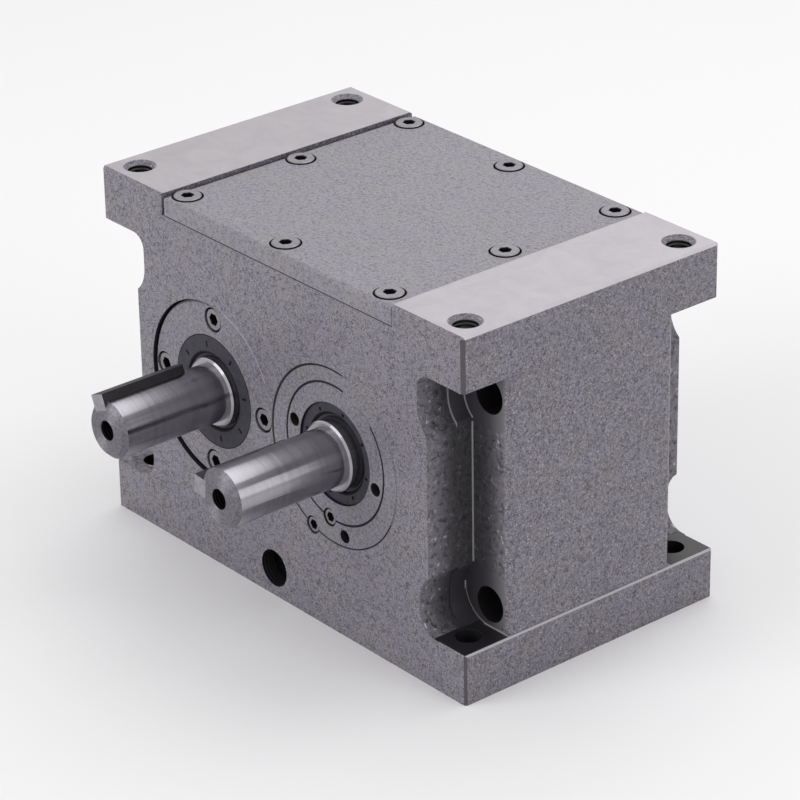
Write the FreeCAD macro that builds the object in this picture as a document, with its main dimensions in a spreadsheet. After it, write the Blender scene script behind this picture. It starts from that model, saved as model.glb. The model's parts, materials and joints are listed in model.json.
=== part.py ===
# Cam indexer with parallel shafts: conjugate plate cams drive a follower turret in a cast housing
import FreeCAD, Part
import math
import os
import re
import Sketcher
from FreeCAD import Placement, Rotation, Vector

# Driving dimensions in millimetres; depths are counted from the front or rear face inwards
sizes = {
    # housing block
    "housingWidth": 230, "housingDepth": 135, "housingHeight": 160,
    "footHeight": 22.4, "topHeight": 23.6, "footCorner": 0.9, "footLip": 0.5, "topCorner": 1.3, "topEnds": 1,
    "topSides": 0.6,
    "pocketAcross": 21.8, "pocketDeep": 23.5, "endRecess": 0.8, "pocketRound": 3,
    "reliefRadius": 14, "reliefInset": 12.7, "lowCorner": 9.5, "highCorner": 6.5, "castAllowance": 0.5, "castDepth": 15.2,
    # bolt holes
    "footBoltInset": 12, "footBoltRadius": 5.5,
    "earBoltInset": 11.8, "earBoltRise": 10, "earBoltDrop": 12, "earBoltRadius": 7.75,
    "padWidth": 41.5, "padHoleInset": 11.5, "padThreadRadius": 5.1, "padChamfer": 1.9,
    # cavity
    "frontWall": 20, "endWall": 36, "floorThickness": 10, "roofThickness": 12,
    "drumRadius": 56, "cupRadius": 53.5, "drumWall": 36, "bossReach": 31, "sleeveWall": 7,
    # top cover
    "coverThickness": 8, "coverDrop": 1, "gasketThickness": 0.5, "coverGapLeft": 1.8, "coverGapRight": 0.3,
    "coverEdgeRound": 1.3, "openingBorder": 8.5,
    "coverScrewInset": 8, "coverScrewLeft": 5.7, "coverScrewRight": 10.2,
    "coverScrewRadius": 4, "coverHeadRadius": 6, "coverHeadHeight": 4.6, "coverSinkRadius": 6.7,
    "coverSinkDepth": 4,
    "coverScrewLength": 18, "coverSocket": 5,
    # shafts
    "centreDistance": 80, "axisHeight": 80, "outputOffset": 44.4, "eccentricity": 1.9, "eccentricAngle": 70,
    "shaftRadius": 12.5, "seatRadius": 15, "coreRadius": 18, "shaftChamfer": 1.9,
    "outputReach": 53.6, "inputReach": 58.4, "outputCollar": 0.75, "inputCollar": 3.8,
    "shaftEndGap": 1, "endHoleDepth": 20, "endHoleRadius": 4.2, "endHoleChamfer": 0.4,
    "keyWidth": 8, "keyHeight": 7, "keySunk": 4, "keyStart": 10.5, "outputKeyAngle": 112.5, "inputKeyAngle": 174,
    # bearings
    "bearingRadius": 27.5, "bearingWidth": 13, "innerRingRadius": 18.25, "outerRingRadius": 23.75,
    "rollingRadius": 2.7, "rollingLength": 9, "rollingCircle": 21, "bearingShoulder": 24, "bearingChamfer": 0.6,
    # flange and cap of the output side
    "recessRadius": 40.2, "recessDepth": 12, "flangeRadius": 39.5, "flangeDrop": 1.2, "spigotLength": 2,
    "flangeChamfer": 0.8, "flangeBore": 17, "outputSealRadius": 25, "sealWidth": 8, "sealFaceRadius": 17.2,
    "lipGap": 0.06, "flangeScrewCircle": 33, "flangeScrewRadius": 3, "flangeHeadRadius": 5, "flangeHeadHeight": 6,
    "flangeSinkRadius": 5.5, "flangeSinkDepth": 6.5, "flangeScrewLength": 15, "flangeSocket": 5, "flangeTurn": -2,
    # eccentric sleeve and nut of the input side
    "sleeveRadius": 38.9, "sleeveChamfer": 0.5, "nutRadius": 30.4, "nutThickness": 10, "nutChamfer": 0.6,
    "inputSealRadius": 22, "inputSealDrop": 1, "spannerHoleRadius": 2.9, "spannerHoleDepth": 6, "nutHoleCircle": 26,
    "nutHoleAngle": 166, "sleeveHoleCircle": 34, "sleeveHoleAngle": -80,
    "lockScrewRadius": 4, "lockScrewLength": 8, "lockSocket": 4, "nutLockAngle": -98, "sleeveLockAngle": -112,
    # drain port
    "drainOffset": -5.8, "drainHeight": 12.9, "drainRadius": 8.25, "drainSunk": 7, "drainPlugLength": 8,
    "drainSocket": 8,
    # cams and turret
    "followerCircle": 42, "followerRadius": 11, "followerWidth": 12, "followerGap": 0.5, "rollerPlay": 0.05,
    "studRadius": 5, "studHeadRadius": 8, "studHeadHeight": 1.3, "camPlay": 0.3, "camNoseRadius": 50,
    "camThickness": 11, "camCollarRadius": 26, "camCollarWidth": 17, "turretRadius": 50, "turretWidth": 15,
    "turretHubRadius": 25, "turretHubWidth": 43, "hubKeyWidth": 10, "hubKeyHeight": 8, "hubKeySunk": 5,
    "ringWidth": 1.75, "ringSunk": 1, "ringRadius": 21,
}
FOLLOWERS = 8
ROLLING = 12
OUTPUT_X = "-outputOffset"
SLEEVE_X = "centreDistance - outputOffset"
OFFSET_X = "eccentricity * cos(eccentricAngle * 1 deg)"
OFFSET_Z = "eccentricity * sin(eccentricAngle * 1 deg)"
INPUT_X = SLEEVE_X + " + " + OFFSET_X
INPUT_Z = "axisHeight + " + OFFSET_Z
TILT = "atan(%s / (centreDistance + %s))" % (OFFSET_Z, OFFSET_X)
HALF = "housingDepth / 2"
LID_SEAT = "housingHeight - coverDrop - coverThickness - gasketThickness"
COVER_LEFT = "-housingWidth / 2 + padWidth + coverGapLeft"
SCREWS_LEFT = "(%s + coverScrewLeft)" % COVER_LEFT
SCREWS_RIGHT = "(housingWidth / 2 - padWidth - coverGapRight - coverScrewRight)"
SCREWS_FRONT = "(%s - coverScrewInset)" % HALF

doc = FreeCAD.newDocument("CamIndexer")
sheet = doc.addObject("Spreadsheet::Sheet", "dim")
for row, (alias, number) in enumerate(sizes.items(), start=1):
    sheet.set("A%d" % row, alias)
    sheet.set("B%d" % row, str(number))
    sheet.setAlias("B%d" % row, alias)
doc.recompute()
nodes = []


# Shared tools
def bound(text):
    return re.sub(r"[A-Za-z]\w*", lambda word: "dim." + word[0] if word[0] in sizes else word[0], str(text))


def bind(item, **texts):
    for name, text in texts.items():
        item.setExpression(name, bound(text))
    return item


def place(item, x="0", y="0", z="0", turn=None):
    item.Placement = Placement(Vector(), turn or Rotation())
    for axis, text in zip("xyz", (x, y, z)):
        item.setExpression("Placement.Base." + axis, bound(text))
    return item


def block(name, x, y, z, across, deep, high):
    item = bind(doc.addObject("Part::Box", name), Length=across, Width=deep, Height=high)
    return place(item, x, y, z)


def post(name, radius, x, y, z, high):
    return place(bind(doc.addObject("Part::Cylinder", name), Radius=radius, Height=high), x, y, z)


# Depth under the front face (side 1) or the rear face (side -1) as a place along Y
def inward(depth, side=1):
    return "%d * (%s - (%s))" % (-side, HALF, depth)


def rod(name, radius, x, z, depth, length, side=1):
    item = bind(doc.addObject("Part::Cylinder", name), Radius=radius, Height=length)
    return place(item, x, inward(depth, side), z, Rotation(Vector(1, 0, 0), -90 * side))


def cone(name, first, second, x, z, depth, length, side=1):
    item = bind(doc.addObject("Part::Cone", name), Radius1=first, Radius2=second, Height=length)
    return place(item, x, inward(depth, side), z, Rotation(Vector(1, 0, 0), -90 * side))


def hexagon(name, width, x, z, depth, length, side=1):
    item = doc.addObject("Part::Prism", name)
    item.Polygon = 6
    bind(item, Circumradius="(%s) / sqrt(3)" % width, Height=length)
    return place(item, x, inward(depth, side), z, Rotation(Vector(1, 0, 0), -90 * side))


def fuse(name, *pieces):
    item = doc.addObject("Part::MultiFuse", name)
    item.Shapes = list(pieces)
    item.Refine = True
    return item


def cut(name, base, *tools):
    item = doc.addObject("Part::Cut", name)
    item.Base = base
    item.Tool = tools[0] if len(tools) == 1 else fuse(name + "_tools", *tools)
    return item


def group(name, pieces):
    item = doc.addObject("Part::Compound", name)
    item.Links = list(pieces)
    return item


def node(item, label=None):
    item.Label = label or item.Name
    nodes.append(item)
    return item


# A turned piece: the outline's points are (radius, depth), spun about the body's own Y axis
def turned(name, points, x, z, side=1, start="0"):
    body = doc.addObject("PartDesign::Body", name)
    plane = next(f for f in body.Origin.OriginFeatures if f.Role == "XY_Plane")
    sketch = body.newObject("Sketcher::SketchObject", name + "_outline")
    sketch.AttachmentSupport = [(plane, "")]
    sketch.MapMode = "FlatFace"
    last = len(points)
    spots = [Vector(1 + i, 1 + i * i / 2, 0) for i in range(last)]
    for i in range(last):
        sketch.addGeometry(Part.LineSegment(spots[i], spots[(i + 1) % last]))
    for i in range(last):
        sketch.addConstraint(Sketcher.Constraint("Coincident", i, 2, (i + 1) % last, 1))
    for i, (radius, depth) in enumerate(points):
        for kind, text, now in (("DistanceX", radius, spots[i].x), ("DistanceY", depth, spots[i].y)):
            number = sketch.addConstraint(Sketcher.Constraint(kind, -1, 1, i, 1, now))
            sketch.setExpression("Constraints[%d]" % number, bound(text))
    spin = body.newObject("PartDesign::Revolution", name + "_spin")
    spin.Profile = sketch
    spin.ReferenceAxis = (sketch, ["V_Axis"])
    spin.Angle = 360
    turn = Rotation(Vector(0, 0, 1), 0 if side == 1 else 180)
    return place(body, x, inward(start, side), z, turn)


# A copy of a finished piece at another place
def copy(name, original, x, y, z, turn=None):
    item = doc.addObject("App::Link", name)
    item.LinkedObject = original
    return place(item, x, y, z, turn)


# Part::Fillet or Part::Chamfer: each edge takes the size whose test it passes first
def edged(kind, name, base, **tests):
    doc.recompute()
    item = doc.addObject(kind, name)
    item.Base = base
    chosen = []
    for i, edge in enumerate(base.Shape.Edges, start=1):
        amounts = [sheet.get(alias) for alias, test in tests.items() if test(edge)]
        chosen += [(i, amounts[0], amounts[0])] if amounts else []
    item.Edges = chosen
    return item


def upright(edge):
    first, last = edge.Vertexes[0].Point, edge.Vertexes[-1].Point
    return abs(first.x - last.x) < 0.01 and abs(first.y - last.y) < 0.01 and abs(first.z - last.z) > 1


# A socket-head screw: head above its seat, shank below, hexagon socket in the head
def screw(name, radius, length, head_radius, head_height, socket):
    points = [
        ("0", "-(%s)" % head_height), (head_radius + " - 0.5", "-(%s)" % head_height),
        (head_radius, "0.5 - (%s)" % head_height), (head_radius, "0"), (radius, "0"),
        (radius, "(%s) - 0.8" % length), (radius + " - 0.8", length), ("0", length),
    ]
    body = turned(name + "_blank", points, "0", "0", 1, HALF)
    hole = hexagon(name + "_socket", socket, "0", "0", "%s - (%s)" % (HALF, head_height),
                   "(%s) * 0.55" % head_height)
    return cut(name + "_model", body, hole)


# Housing
def housing():
    deep, wide, tall = "housingDepth", "housingWidth", "housingHeight"
    foot = block("foot_slab", "-housingWidth / 2", "-" + HALF, "0", wide, deep, "footHeight")
    top = block("top_slab", "-housingWidth / 2", "-" + HALF, "housingHeight - topHeight", wide, deep, "topHeight")
    waist_high = "housingHeight - footHeight - topHeight"
    front_to_back = block("waist_middle", "-housingWidth / 2 + pocketAcross", "-" + HALF, "footHeight",
                          "housingWidth - 2 * pocketAcross", deep, waist_high)
    end_to_end = block("waist_ends", "-housingWidth / 2 + endRecess", "pocketDeep - " + HALF, "footHeight",
                       "housingWidth - 2 * endRecess", "housingDepth - 2 * pocketDeep", waist_high)
    waist = fuse("waist_cross", front_to_back, end_to_end)
    end_face = sheet.get("housingWidth") / 2 - sheet.get("endRecess")
    waist = edged("Part::Fillet", "waist", waist, pocketRound=lambda e: upright(e) and on_end(e, end_face))
    face, brim = sheet.get("housingWidth") / 2, sheet.get("housingHeight")
    foot = edged("Part::Chamfer", "foot_edges", foot, footCorner=upright,
                 footLip=lambda e: on_end(e, face) and level_at(e, sheet.get("footHeight")))
    top = edged("Part::Chamfer", "top_edges", top, topCorner=upright,
                topEnds=lambda e: on_end(e, face) and level_at(e, brim), topSides=lambda e: level_at(e, brim))
    roots, tools = [], []
    for sx in (-1, 1):
        ear_x = "%d * (housingWidth / 2 - earBoltInset)" % sx
        for upper in (0, 1):
            tag = "%s_%d_%d" % ("%s", sx + 1, upper)
            ear_z = from_slab("earBoltDrop" if upper else "earBoltRise", upper)
            tools.append(rod(tag % "ear_hole", "earBoltRadius", ear_x, ear_z, "0", "housingDepth"))
            for side in (1, -1):
                root, clearance = relief(tag % ("relief_front" if side == 1 else "relief_rear"), sx, upper, side)
                roots.append(root)
                tools += clearance
        for sy in (-1, 1):
            tag = "%s_%d_%d" % ("%s", sx + 1, sy + 1)
            foot_x = "%d * (housingWidth / 2 - footBoltInset)" % sx
            foot_y = "%d * (housingDepth / 2 - footBoltInset)" % sy
            tools.append(post(tag % "foot_hole", "footBoltRadius", foot_x, foot_y, "-1", "footHeight + 2"))
            pad_x = "%d * (housingWidth / 2 - padHoleInset)" % sx
            pad_y = "%d * (housingDepth / 2 - padHoleInset)" % sy
            tools.append(post(tag % "pad_hole", "padThreadRadius", pad_x, pad_y,
                              "housingHeight - topHeight - 1", "topHeight + 2"))
            mouth = bind(doc.addObject("Part::Cone", tag % "pad_mouth"), Radius1="padThreadRadius",
                         Radius2="padThreadRadius + padChamfer", Height="padChamfer")
            tools.append(place(mouth, pad_x, pad_y, "housingHeight - padChamfer"))

    casting = fuse("casting", foot, waist, top, *roots)

    # seat of the cover between the two pads
    tools.append(block("cover_seat", "-housingWidth / 2 + padWidth", "-%s - 1" % HALF, LID_SEAT,
                       "housingWidth - 2 * padWidth", "housingDepth + 2", "housingHeight"))
    tools.append(cover_window("cover_opening", "%s - roofThickness - 1" % LID_SEAT, "roofThickness + 2"))
    for i, (x, y) in enumerate(cover_screw_places()):
        tools.append(post("cover_thread_%d" % i, "coverScrewRadius", x, y,
                          "housingHeight - coverDrop - coverSinkDepth - coverScrewLength", "coverScrewLength"))

    # cavity: a box widened by two drums round the turret and the cams, less the bearing bosses
    room = block("room", "-housingWidth / 2 + endWall", "frontWall - " + HALF, "floorThickness",
                 "housingWidth - 2 * endWall", "housingDepth - 2 * frontWall",
                 "%s - roofThickness - floorThickness" % LID_SEAT)
    drum = rod("turret_drum", "drumRadius", OUTPUT_X, "axisHeight", "drumWall", "housingDepth - 2 * drumWall")
    cup = rod("cam_drum", "cupRadius", SLEEVE_X, "axisHeight", "drumWall", "housingDepth - 2 * drumWall")
    cavity = fuse("cavity_room", room, drum, cup)
    bosses = []
    for side, tag in ((1, "front"), (-1, "rear")):
        bosses.append(rod("output_boss_" + tag, "recessRadius", OUTPUT_X, "axisHeight", "frontWall - 1",
                          "bossReach - frontWall + 1", side))
        bosses.append(rod("input_boss_" + tag, "sleeveRadius + sleeveWall", SLEEVE_X, "axisHeight", "frontWall - 1",
                          "bossReach - frontWall + 1", side))
        tools.append(rod("output_recess_" + tag, "recessRadius", OUTPUT_X, "axisHeight", "-1", "recessDepth + 1", side))
        tools.append(rod("output_bore_" + tag, "bearingRadius", OUTPUT_X, "axisHeight", "recessDepth - 1",
                         "spigotLength + bearingWidth + 1", side))
        tools.append(rod("output_throat_" + tag, "bearingShoulder", OUTPUT_X, "axisHeight", "recessDepth", "bossReach",
                         side))
        tools.append(rod("input_bore_" + tag, "sleeveRadius", SLEEVE_X, "axisHeight", "-1", "bossReach + 2", side))
        tools.append(cone("input_mouth_" + tag, "sleeveRadius + sleeveChamfer", "sleeveRadius", SLEEVE_X, "axisHeight",
                          "0", "sleeveChamfer", side))
        for i in range(4):
            x, z = flange_screw_place(i, side)
            tools.append(rod("flange_thread_%s_%d" % (tag, i), "flangeScrewRadius", x, z, "recessDepth - 1",
                             "flangeDrop + flangeSinkDepth + flangeScrewLength - recessDepth + 2", side))
        x, z = around(SLEEVE_X, "axisHeight", "sleeveRadius", "sleeveLockAngle", side)
        tools.append(rod("sleeve_lock_hole_" + tag, "lockScrewRadius", x, z, "-1", "lockScrewLength + 2", side))
    tools.append(cut("cavity", cavity, *bosses))
    tools.append(rod("drain_port", "drainRadius", "drainOffset", "drainHeight", "-1", "frontWall + 2"))
    return node(cut("housing", casting, *tools))


# Edges that lie in an end plane or at a height
def on_end(edge, face):
    return all(abs(abs(v.X) - face) < 0.01 for v in edge.Vertexes)


def level_at(edge, height):
    return all(abs(v.Z - height) < 0.01 for v in edge.Vertexes)


# Height of something that keeps its distance from the foot slab or, above the waist, from the top slab
def from_slab(distance, upper):
    return "housingHeight - topHeight - (%s)" % distance if upper else "footHeight + %s" % distance


# Clearance for a bolt head and spanner, rounded into its slab by a root that is added to the casting first;
# the outer part stays as cast, the rest is faced
def relief(name, sx, upper, side):
    corner = "highCorner" if upper else "lowCorner"
    root_start, root_end = "reliefInset + reliefRadius - %s - 1" % corner, "pocketAcross + 1"
    root = block(name + "_root", from_end(root_start if sx < 0 else root_end, sx),
                 inward("0" if side == 1 else "pocketDeep + 1", side), from_slab(corner if upper else "-1", upper),
                 "%s - (%s)" % (root_end, root_start), "pocketDeep + 1", corner + " + 1")
    tools = []
    for part, extra, depth in (("cast", "castAllowance", "castDepth"), ("faced", "0", "pocketDeep")):
        tag, radius, length = "%s_%s_%%s" % (name, part), "(reliefRadius + %s)" % extra, depth + " + 1"
        reach, front = "(reliefInset + %s)" % radius, inward("-1" if side == 1 else depth, side)
        tools.append(rod(tag % "round", radius, from_end("reliefInset", sx), from_slab(radius, upper), "-1", length,
                         side))
        tools.append(rod(tag % "corner", corner, from_end("%s - %s" % (reach, corner), sx),
                         from_slab(corner, upper), "-1", length, side))
        for kind, inset, low in (("floor", "%s - %s" % (reach, corner), "0"), ("side", reach, corner)):
            tools.append(block(tag % kind, from_end("-1" if sx < 0 else inset, sx), front,
                               from_slab(radius if upper else low, upper), inset + " + 1", length,
                               "%s - %s" % (radius, low)))
    return root, tools


# Place along X at a distance inwards from the left (-1) or right (1) end of the housing
def from_end(inset, sx):
    return "%d * (housingWidth / 2 - (%s))" % (sx, inset)


# A point on a circle about an axis, seen from the side that the piece is on
def around(x, z, circle, angle, side=1):
    turn = "(%s) * 1 deg" % angle
    return "%s + %d * (%s) * cos(%s)" % (x, side, circle, turn), "%s + (%s) * sin(%s)" % (z, circle, turn)


def flange_screw_place(i, side):
    return around(OUTPUT_X, "axisHeight", "flangeScrewCircle", "flangeTurn + %d" % (90 * i), side)


def cover_screw_places():
    for i in (-1, 0, 1):
        for j in (-1, 0, 1):
            if i or j:
                yield ((SCREWS_LEFT, "(%s + %s) / 2" % (SCREWS_LEFT, SCREWS_RIGHT), SCREWS_RIGHT)[i + 1],
                       "%d * %s" % (j, SCREWS_FRONT))


# Opening under the cover, inside the line of its screws
def cover_window(name, level, high):
    return block(name, SCREWS_LEFT + " + openingBorder", "openingBorder - " + SCREWS_FRONT, level,
                 "%s - %s - 2 * openingBorder" % (SCREWS_RIGHT, SCREWS_LEFT),
                 "2 * %s - 2 * openingBorder" % SCREWS_FRONT, high)


# Top cover, its gasket and its screws
def cover():
    across = "housingWidth - 2 * padWidth - coverGapLeft - coverGapRight"
    under = "housingHeight - coverDrop - coverThickness"
    plate = block("cover_plate", COVER_LEFT, "-" + HALF, under, across, "housingDepth", "coverThickness")
    front, top = sheet.get("housingDepth") / 2, sheet.get("housingHeight") - sheet.get("coverDrop")
    plate = edged("Part::Fillet", "cover_rounded", plate,
                  coverEdgeRound=lambda e: level_at(e, top) and all(abs(abs(v.Y) - front) < 0.01 for v in e.Vertexes))
    sheet_gasket = block("gasket_sheet", COVER_LEFT, "-" + HALF, LID_SEAT, across, "housingDepth", "gasketThickness")
    window = cover_window("gasket_window", LID_SEAT + " - 1", "gasketThickness + 2")
    holes, gasket_holes, screws = [], [window], []
    model = screw("cover_screw", "coverScrewRadius", "coverScrewLength", "coverHeadRadius", "coverHeadHeight",
                  "coverSocket")
    seat = "housingHeight - coverDrop - coverSinkDepth"
    for i, (x, y) in enumerate(cover_screw_places()):
        holes.append(post("cover_hole_%d" % i, "coverScrewRadius + 0.4", x, y, under + " - 1", "coverThickness + 2"))
        holes.append(post("cover_sink_%d" % i, "coverSinkRadius", x, y, seat, "coverSinkDepth + 1"))
        gasket_holes.append(post("gasket_hole_%d" % i, "coverScrewRadius + 0.4", x, y, LID_SEAT + " - 1",
                                 "gasketThickness + 2"))
        screws.append(copy("cover_screw_%d" % i, model, x, y, seat, Rotation(Vector(1, 0, 0), -90)))
    node(cut("top_cover", plate, *holes))
    node(cut("cover_gasket", sheet_gasket, *gasket_holes))
    node(group("cover_screws", screws))


# Lip seal: pressed-in ring with a lip that runs on the shaft
def seal(name, outer, x, z, face):
    back = "%s + sealWidth" % face
    points = [
        (outer, face), ("sealFaceRadius", face), ("seatRadius + lipGap", face + " + 2.2"),
        ("seatRadius + lipGap", face + " + 3"), ("sealFaceRadius", face + " + 5"), ("sealFaceRadius + 1.2", back + " - 1"),
        ("sealFaceRadius + 1.2", back), (outer, back),
    ]
    return node(turned(name, points, x, z))


# Rolling bearing in three nodes; only the inner ring turns with the shaft
def bearing(tag, x, z, depth, side):
    far = "%s + bearingWidth" % depth
    outer = [
        ("outerRingRadius", depth), ("bearingRadius - bearingChamfer", depth),
        ("bearingRadius", depth + " + bearingChamfer"), ("bearingRadius", far + " - bearingChamfer"),
        ("bearingRadius - bearingChamfer", far), ("outerRingRadius", far),
    ]
    inner = [("seatRadius", depth), ("innerRingRadius", depth), ("innerRingRadius", far), ("seatRadius", far)]
    node(turned(tag + "_outer_ring", outer, x, z, side))
    node(turned(tag + "_inner_ring", inner, x, z, side))
    rollers = []
    for i in range(ROLLING):
        px, pz = around(x, z, "rollingCircle", 360 * i / ROLLING)
        rollers.append(rod("%s_rolling_%d" % (tag, i), "rollingRadius", px, pz,
                           "%s + (bearingWidth - rollingLength) / 2" % depth, "rollingLength", side))
    node(group(tag + "_rollers", rollers))


# Output side: bolted flange with seal in front, blank cap behind, a bearing under each
def output_supports():
    model = screw("flange_screw", "flangeScrewRadius", "flangeScrewLength", "flangeHeadRadius", "flangeHeadHeight",
                  "flangeSocket")
    for side, tag in ((1, "front"), (-1, "rear")):
        end = "recessDepth + spigotLength"
        hub = [("bearingRadius", end), ("bearingRadius", "recessDepth"), ("flangeRadius", "recessDepth"),
               ("flangeRadius", "flangeDrop + flangeChamfer"), ("flangeRadius - flangeChamfer", "flangeDrop")]
        if side == 1:
            step = "flangeDrop + sealWidth"
            points = hub + [("outputSealRadius", "flangeDrop"), ("outputSealRadius", step), ("flangeBore", step),
                            ("flangeBore", end)]
        else:
            points = hub + [("0", "flangeDrop"), ("0", end)]
        disc = turned("output_%s_disc" % tag, points, OUTPUT_X, "axisHeight", side)
        holes, screws = [], []
        for i in range(4):
            x, z = flange_screw_place(i, side)
            seat = "flangeDrop + flangeSinkDepth"
            holes.append(rod("flange_hole_%s_%d" % (tag, i), "flangeScrewRadius + 0.3", x, z, "0", "recessDepth + 1",
                             side))
            holes.append(rod("flange_sink_%s_%d" % (tag, i), "flangeSinkRadius", x, z, "flangeDrop - 1",
                             "flangeSinkDepth + 1", side))
            screws.append(copy("flange_screw_%s_%d" % (tag, i), model, x, inward(seat, side), z,
                               Rotation(Vector(0, 0, 1), 0 if side == 1 else 180)))
        node(cut("output_front_flange" if side == 1 else "output_rear_cap", disc, *holes))
        node(group("output_%s_screws" % tag, screws))
        bearing("output_%s_bearing" % tag, OUTPUT_X, "axisHeight", end, side)
    seal("output_front_seal", "outputSealRadius", OUTPUT_X, "axisHeight", "flangeDrop")


# Input side: eccentric sleeve that sets the centre distance, ring nut that holds the bearing in it
def input_supports():
    locks = []
    for side, tag in ((1, "front"), (-1, "rear")):
        rim = [
            ("0", "0"), ("sleeveRadius - sleeveChamfer", "0"), ("sleeveRadius", "sleeveChamfer"),
            ("sleeveRadius", "bossReach"), ("0", "bossReach"),
        ]
        bore = [
            ("0", "-1"), ("nutRadius + nutChamfer + 1", "-1"), ("nutRadius", "nutChamfer"),
            ("nutRadius", "nutThickness"), ("bearingRadius", "nutThickness"),
            ("bearingRadius", "nutThickness + bearingWidth"), ("bearingShoulder", "nutThickness + bearingWidth"),
            ("bearingShoulder", "bossReach + 1"), ("0", "bossReach + 1"),
        ]
        nut = [("nutRadius - nutChamfer", "0"), ("nutRadius", "nutChamfer"), ("nutRadius", "nutThickness")]
        if side == 1:
            step = "inputSealDrop + sealWidth"
            nut += [("flangeBore", "nutThickness"), ("flangeBore", step), ("inputSealRadius", step),
                    ("inputSealRadius", "0")]
        else:
            nut += [("0", "nutThickness"), ("0", "0")]
        nut_locks = around(INPUT_X, INPUT_Z, "nutRadius", "nutLockAngle", side)
        sleeve_locks = around(SLEEVE_X, "axisHeight", "sleeveRadius", "sleeveLockAngle", side)
        lock_holes = [
            rod("lock_hole_%s_%d" % (tag, i), "lockScrewRadius", x, z, "-1", "lockScrewLength + 2", side)
            for i, (x, z) in enumerate((nut_locks, sleeve_locks))
        ]
        ring_hole = around(SLEEVE_X, "axisHeight", "sleeveHoleCircle", "sleeveHoleAngle", side)
        ring_spanner = rod("sleeve_spanner_" + tag, "spannerHoleRadius", *ring_hole, "-1", "spannerHoleDepth + 1", side)
        nut_spanners = []
        for i in (0, 1):
            x, z = around(INPUT_X, INPUT_Z, "nutHoleCircle", "nutHoleAngle + %d" % (180 * i), side)
            nut_spanners.append(rod("nut_spanner_%s_%d" % (tag, i), "spannerHoleRadius", x, z, "-1",
                                    "spannerHoleDepth + 1", side))
        node(cut("input_%s_sleeve" % tag,
                 turned("sleeve_rim_" + tag, rim, SLEEVE_X, "axisHeight", side),
                 turned("sleeve_bore_" + tag, bore, INPUT_X, INPUT_Z, side), *lock_holes, ring_spanner))
        node(cut("input_%s_nut" % tag, turned("nut_blank_" + tag, nut, INPUT_X, INPUT_Z, side),
                 lock_holes[0], *nut_spanners))
        for i, (x, z) in enumerate((nut_locks, sleeve_locks)):
            name = "lock_%s_%d" % (tag, i)
            pin = rod(name + "_pin", "lockScrewRadius", x, z, "0.5", "lockScrewLength", side)
            hole = hexagon(name + "_socket", "lockSocket", x, z, "0", "lockScrewLength / 2", side)
            locks.append(cut(name, pin, hole))
        bearing("input_%s_bearing" % tag, INPUT_X, INPUT_Z, "nutThickness", side)
    node(group("lock_screws", locks))
    seal("input_front_seal", "inputSealRadius", INPUT_X, INPUT_Z, "inputSealDrop")


# Key laid along Y in a shaft, at an angle about the shaft's axis; also the tool that cuts its seat
def key(name, x, z, angle, width, height, low, depth, length, rounded):
    bar = bind(doc.addObject("Part::Box", name + "_bar"), Length=height, Width=length, Height=width)
    place(bar, low, inward(depth), "-(%s) / 2" % width)
    pieces = [bar]
    if rounded:
        end = bind(doc.addObject("Part::Cylinder", name + "_end"), Radius="(%s) / 2" % width, Height=height)
        place(end, low, inward("%s + %s" % (depth, length)), "0", Rotation(Vector(0, 1, 0), 90))
        pieces.append(end)
    item = fuse(name, *pieces) if rounded else bar
    turned_key = doc.addObject("Part::Compound", name + "_turned")
    turned_key.Links = [item]
    return about_axis(turned_key, x, z, angle, "0")


# Turns an item about a shaft's axis to an angle in degrees, seen from the front
def about_axis(item, x, z, angle, y=inward("0")):
    place(item, x, y, z, Rotation(Vector(0, -1, 0), 1))
    item.setExpression("Placement.Rotation.Angle", bound("(%s) * 1 deg" % angle))
    return item


# Turned shaft: output end with a threaded centre hole, bearing seats, core with ring grooves
def shaft(name, x, z, angle, reach, collar, first_seat, grooves, flange, side_end):
    start = "-(%s)" % reach
    points = [
        ("0", "%s + endHoleDepth + endHoleRadius" % start), ("endHoleRadius", "%s + endHoleDepth" % start),
        ("endHoleRadius", start + " + endHoleChamfer"), ("endHoleRadius + endHoleChamfer", start),
        ("shaftRadius - shaftChamfer", start), ("shaftRadius", start + " + shaftChamfer"),
        ("shaftRadius", "-(%s)" % collar), ("seatRadius - 0.8", "-(%s)" % collar), ("seatRadius", "0.8 - (%s)" % collar),
        ("seatRadius", first_seat), ("coreRadius", first_seat),
    ]
    ring = "ringWidth"
    low = "coreRadius - ringSunk"
    points += [("coreRadius", grooves + " - " + ring), (low, grooves + " - " + ring), (low, grooves),
               ("coreRadius", grooves)]
    if flange:
        near = "housingDepth / 2 - camCollarWidth / 2"
        points += [("coreRadius", near), ("camCollarRadius", near), ("camCollarRadius", "housingDepth - (%s)" % near),
                   ("coreRadius", "housingDepth - (%s)" % near)]
    back = "housingDepth - (%s)" % grooves
    points += [("coreRadius", back), (low, back), (low, back + " + " + ring), ("coreRadius", back + " + " + ring)]
    points += [("coreRadius", "housingDepth - (%s)" % first_seat), ("seatRadius", "housingDepth - (%s)" % first_seat),
               ("seatRadius", side_end + " - 0.8"), ("seatRadius - 0.8", side_end), ("0", side_end)]
    return about_axis(turned(name + "_blank", points, x, z), x, z, angle)


# Two open retaining rings in their grooves
def retaining_rings(name, x, z, grooves):
    rings = []
    for side in (1, -1):
        depth = "%s - ringWidth" % grooves
        points = [("coreRadius - ringSunk", depth), ("ringRadius", depth), ("ringRadius", grooves),
                  ("coreRadius - ringSunk", grooves)]
        ring = turned("%s_%d" % (name, side + 1), points, x, z, side)
        gap = block("%s_gap_%d" % (name, side + 1), x + " - 2", "-" + HALF, z + " - ringRadius - 1", "4", "housingDepth",
                    "ringRadius")
        rings.append(cut("%s_ring_%d" % (name, side + 1), ring, gap))
    return node(group(name, rings))


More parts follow.
